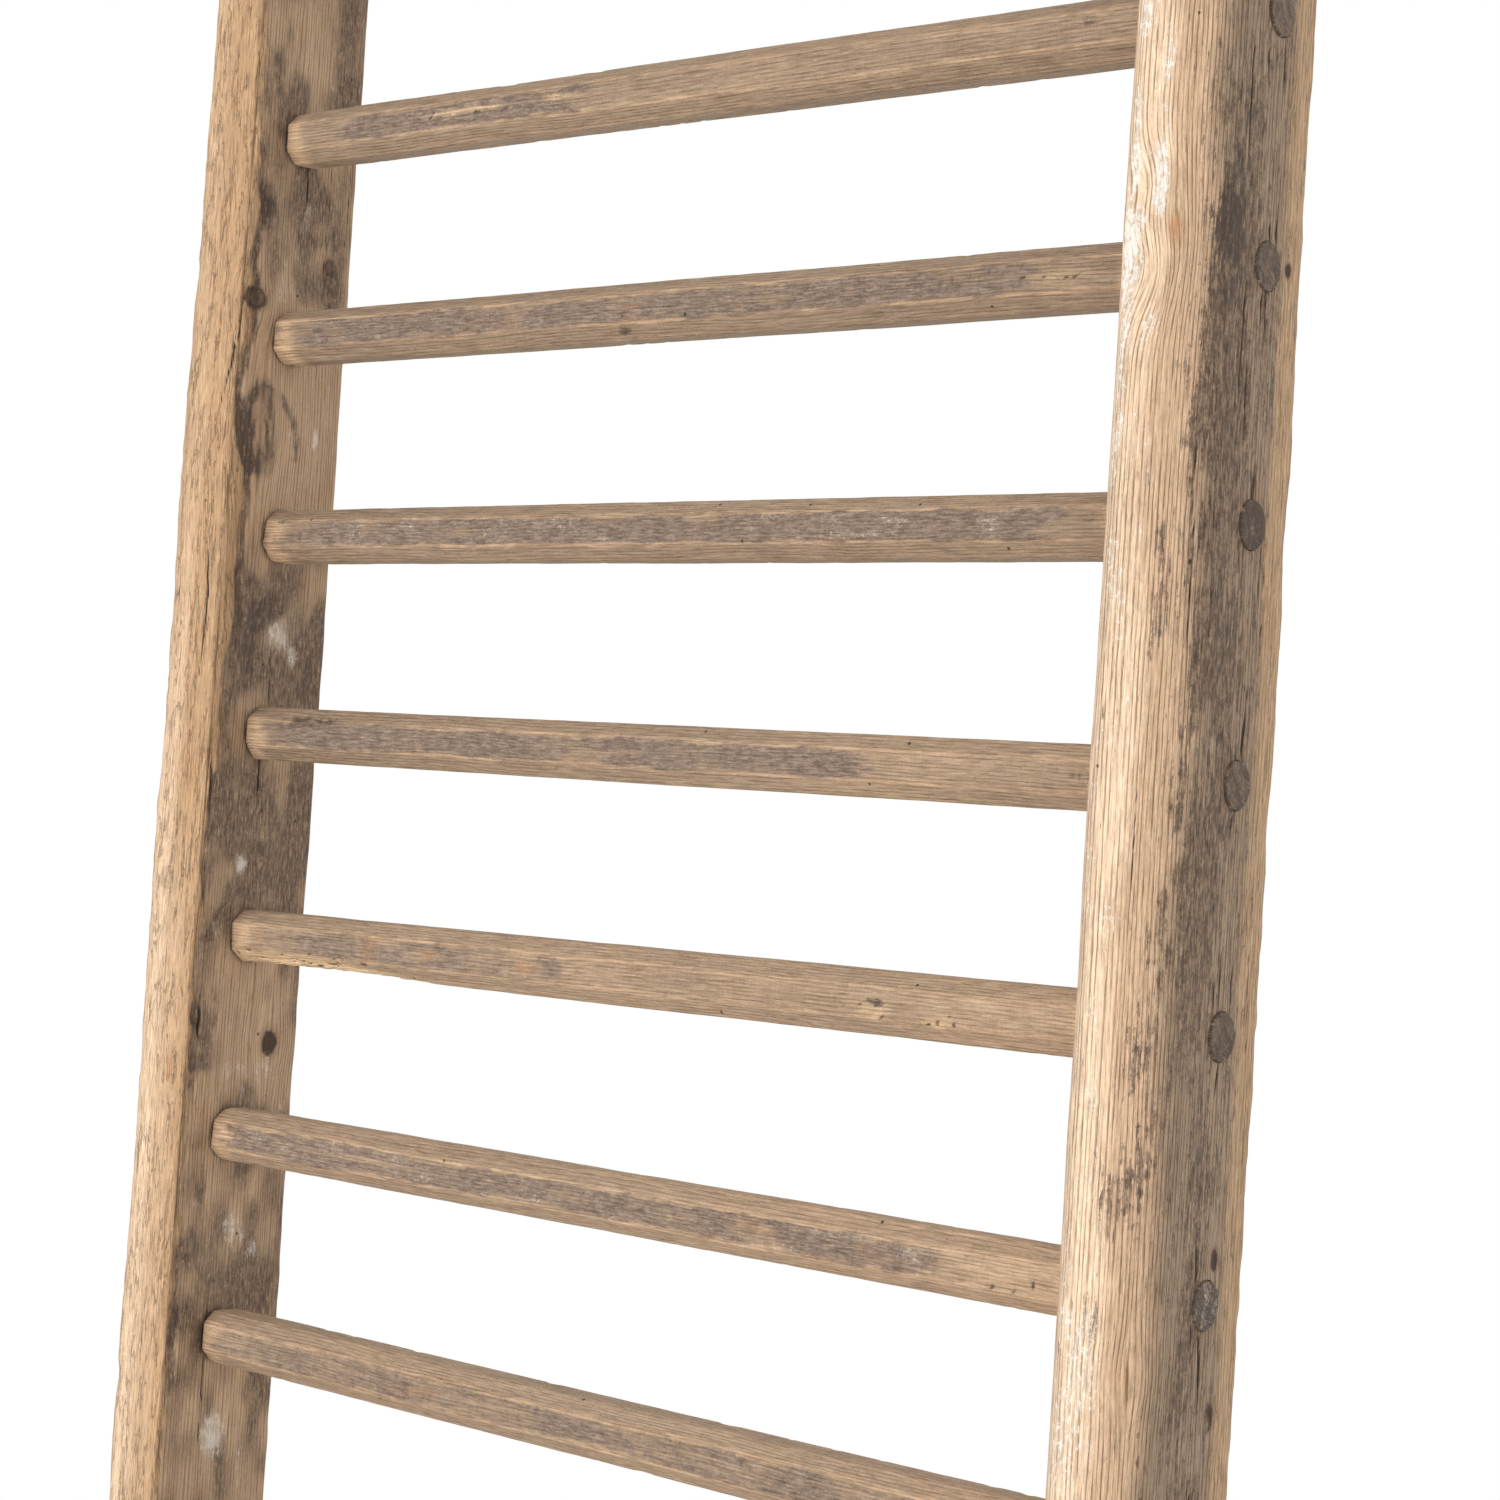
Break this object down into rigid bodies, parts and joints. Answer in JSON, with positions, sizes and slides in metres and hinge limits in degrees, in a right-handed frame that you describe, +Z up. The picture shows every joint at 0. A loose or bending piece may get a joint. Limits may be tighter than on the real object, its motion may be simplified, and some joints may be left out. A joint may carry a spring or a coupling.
{
  "type": "hay rack",
  "caption": "Ladder-like wooden hay feeding rack: two heavy squared poles joined by octagonal rungs whose round tenons pass through them.",
  "frame": {"origin": "on the floor, midway between the two feet, at the middle of the rack's outline", "axes": "+Z up along the rails, +X to the right along the rungs, -Y towards the front, where the hay is pulled out"},
  "size_m": [0.892, 0.111, 2.4],
  "materials": {
    "rail_softwood": "weathered rough softwood, raised grain, grey-brown dirt, matte",
    "rung_oak": "worn oak, hand shaved, grey-purple dirt on the front facet, matte"
  },
  "bodies": {
    "root": {"left_rail": "rail_softwood", "right_rail": "rail_softwood", "rung_01": "rung_oak", "rung_02": "rung_oak", "rung_03": "rung_oak", "rung_04": "rung_oak", "rung_05": "rung_oak", "rung_06": "rung_oak", "rung_07": "rung_oak", "rung_08": "rung_oak", "rung_09": "rung_oak", "rung_10": "rung_oak", "rung_11": "rung_oak", "rung_12": "rung_oak", "rung_13": "rung_oak", "rung_14": "rung_oak", "rung_15": "rung_oak"}
  },
  "joints": []
}
